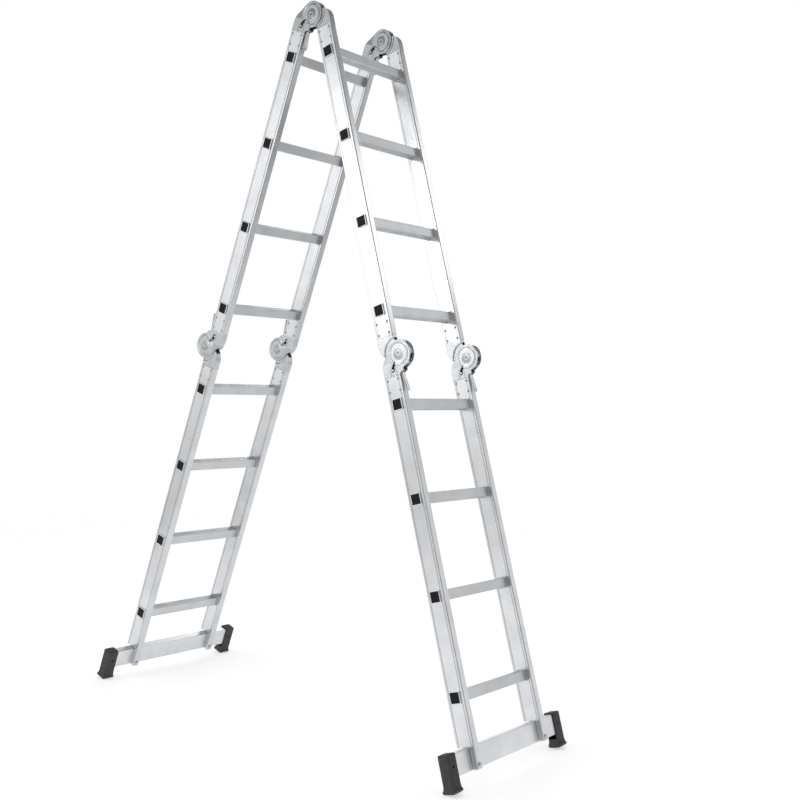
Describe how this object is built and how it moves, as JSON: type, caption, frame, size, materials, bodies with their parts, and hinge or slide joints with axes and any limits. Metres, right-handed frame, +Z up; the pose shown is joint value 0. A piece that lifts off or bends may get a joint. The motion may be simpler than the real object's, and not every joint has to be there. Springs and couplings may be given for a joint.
{
  "type": "multi-position ladder",
  "caption": "Folding multi-position ladder in an A frame, with locking hinge joints between its sections and a stabiliser bar with rubber feet across the bottom of each leg.",
  "frame": {"origin": "on the floor, under the middle of the ladder", "axes": "+Z up, X along the rungs with +X to the right when looking along +Y, +Y from the front leg to the rear leg"},
  "size_m": [0.585, 1.54, 2.2665],
  "materials": {
    "stile_aluminium": "mill-finished extrusion, fine lengthwise die lines, satin",
    "rung_aluminium": "mill-finished extrusion with ribbed tread, satin",
    "bar_aluminium": "mill-finished extrusion, satin",
    "hinge_steel": "pressed steel, bright zinc plated, satin",
    "lever_steel": "steel, zinc plated",
    "pin_steel": "turned steel rivet, zinc plated",
    "rivet_steel": "domed steel rivets, zinc plated",
    "bolt_steel": "steel bolts, nuts and screws, zinc plated",
    "plug_plastic": "black moulded plastic",
    "foot_rubber": "black moulded rubber"
  },
  "bodies": {
    "front_lower": {"front_bar_fasteners": "bolt_steel", "front_left_cover_leaf": "hinge_steel", "front_left_foot": "foot_rubber", "front_lower_hinge_pins": "pin_steel", "front_lower_leaf_rivets": "rivet_steel", "front_lower_left_stile": "stile_aluminium", "front_lower_right_stile": "stile_aluminium", "front_lower_rung_1": "rung_aluminium", "front_lower_rung_2": "rung_aluminium", "front_lower_rung_3": "rung_aluminium", "front_lower_rung_4": "rung_aluminium", "front_lower_rung_plugs": "plug_plastic", "front_right_cover_leaf": "hinge_steel", "front_right_foot": "foot_rubber", "front_stabiliser_bar": "bar_aluminium"},
    "front_left_latch": {"front_left_lock_lever": "lever_steel"},
    "front_upper": {"front_left_notched_leaf": "hinge_steel", "front_right_notched_leaf": "hinge_steel", "front_upper_leaf_rivets": "rivet_steel", "front_upper_left_stile": "stile_aluminium", "front_upper_right_stile": "stile_aluminium", "front_upper_rung_1": "rung_aluminium", "front_upper_rung_2": "rung_aluminium", "front_upper_rung_3": "rung_aluminium", "front_upper_rung_4": "rung_aluminium", "front_upper_rung_plugs": "plug_plastic", "top_left_notched_leaf": "hinge_steel", "top_right_notched_leaf": "hinge_steel"},
    "front_right_latch": {"front_right_lock_lever": "lever_steel"},
    "rear_lower": {"rear_bar_fasteners": "bolt_steel", "rear_left_foot": "foot_rubber", "rear_left_notched_leaf": "hinge_steel", "rear_lower_leaf_rivets": "rivet_steel", "rear_lower_left_stile": "stile_aluminium", "rear_lower_right_stile": "stile_aluminium", "rear_lower_rung_1": "rung_aluminium", "rear_lower_rung_2": "rung_aluminium", "rear_lower_rung_3": "rung_aluminium", "rear_lower_rung_4": "rung_aluminium", "rear_lower_rung_plugs": "plug_plastic", "rear_right_foot": "foot_rubber", "rear_right_notched_leaf": "hinge_steel", "rear_stabiliser_bar": "bar_aluminium"},
    "rear_upper": {"rear_left_cover_leaf": "hinge_steel", "rear_right_cover_leaf": "hinge_steel", "rear_upper_hinge_pins": "pin_steel", "rear_upper_leaf_rivets": "rivet_steel", "rear_upper_left_stile": "stile_aluminium", "rear_upper_right_stile": "stile_aluminium", "rear_upper_rung_1": "rung_aluminium", "rear_upper_rung_2": "rung_aluminium", "rear_upper_rung_3": "rung_aluminium", "rear_upper_rung_4": "rung_aluminium", "rear_upper_rung_plugs": "plug_plastic", "top_left_cover_leaf": "hinge_steel", "top_right_cover_leaf": "hinge_steel"},
    "rear_left_latch": {"rear_left_lock_lever": "lever_steel"},
    "rear_right_latch": {"rear_right_lock_lever": "lever_steel"},
    "top_left_latch": {"top_left_lock_lever": "lever_steel"},
    "top_right_latch": {"top_right_lock_lever": "lever_steel"}
  },
  "joints": [
    {"name": "top_fold", "type": "hinge", "parent": "front_upper", "child": "rear_upper", "pos_m": [0, 0, 2.22452], "axis": [-1, 0, 0], "range_deg": [-144.5, 35.5]},
    {"name": "front_fold", "type": "hinge", "parent": "front_upper", "child": "front_lower", "pos_m": [0, -0.41566, 1.17529], "axis": [-1, 0, 0], "range_deg": [0, 180]},
    {"name": "rear_fold", "type": "hinge", "parent": "rear_upper", "child": "rear_lower", "pos_m": [0, 0.41566, 1.17529], "axis": [1, 0, 0], "range_deg": [0, 180]},
    {"name": "top_left_lever_turn", "type": "hinge", "parent": "rear_upper", "child": "top_left_latch", "pos_m": [-0.172, 0.02126, 2.18036], "axis": [1, 0, 0], "range_deg": [0, 8]},
    {"name": "top_right_lever_turn", "type": "hinge", "parent": "rear_upper", "child": "top_right_latch", "pos_m": [0.172, 0.02126, 2.18036], "axis": [1, 0, 0], "range_deg": [0, 8]},
    {"name": "front_left_lever_turn", "type": "hinge", "parent": "front_lower", "child": "front_left_latch", "pos_m": [-0.172, -0.42399, 1.127], "axis": [1, 0, 0], "range_deg": [0, 8]},
    {"name": "front_right_lever_turn", "type": "hinge", "parent": "front_lower", "child": "front_right_latch", "pos_m": [0.172, -0.42399, 1.127], "axis": [1, 0, 0], "range_deg": [0, 8]},
    {"name": "rear_left_lever_turn", "type": "hinge", "parent": "rear_upper", "child": "rear_left_latch", "pos_m": [-0.172, 0.3944, 1.21944], "axis": [1, 0, 0], "range_deg": [0, 8]},
    {"name": "rear_right_lever_turn", "type": "hinge", "parent": "rear_upper", "child": "rear_right_latch", "pos_m": [0.172, 0.3944, 1.21944], "axis": [1, 0, 0], "range_deg": [0, 8]}
  ]
}
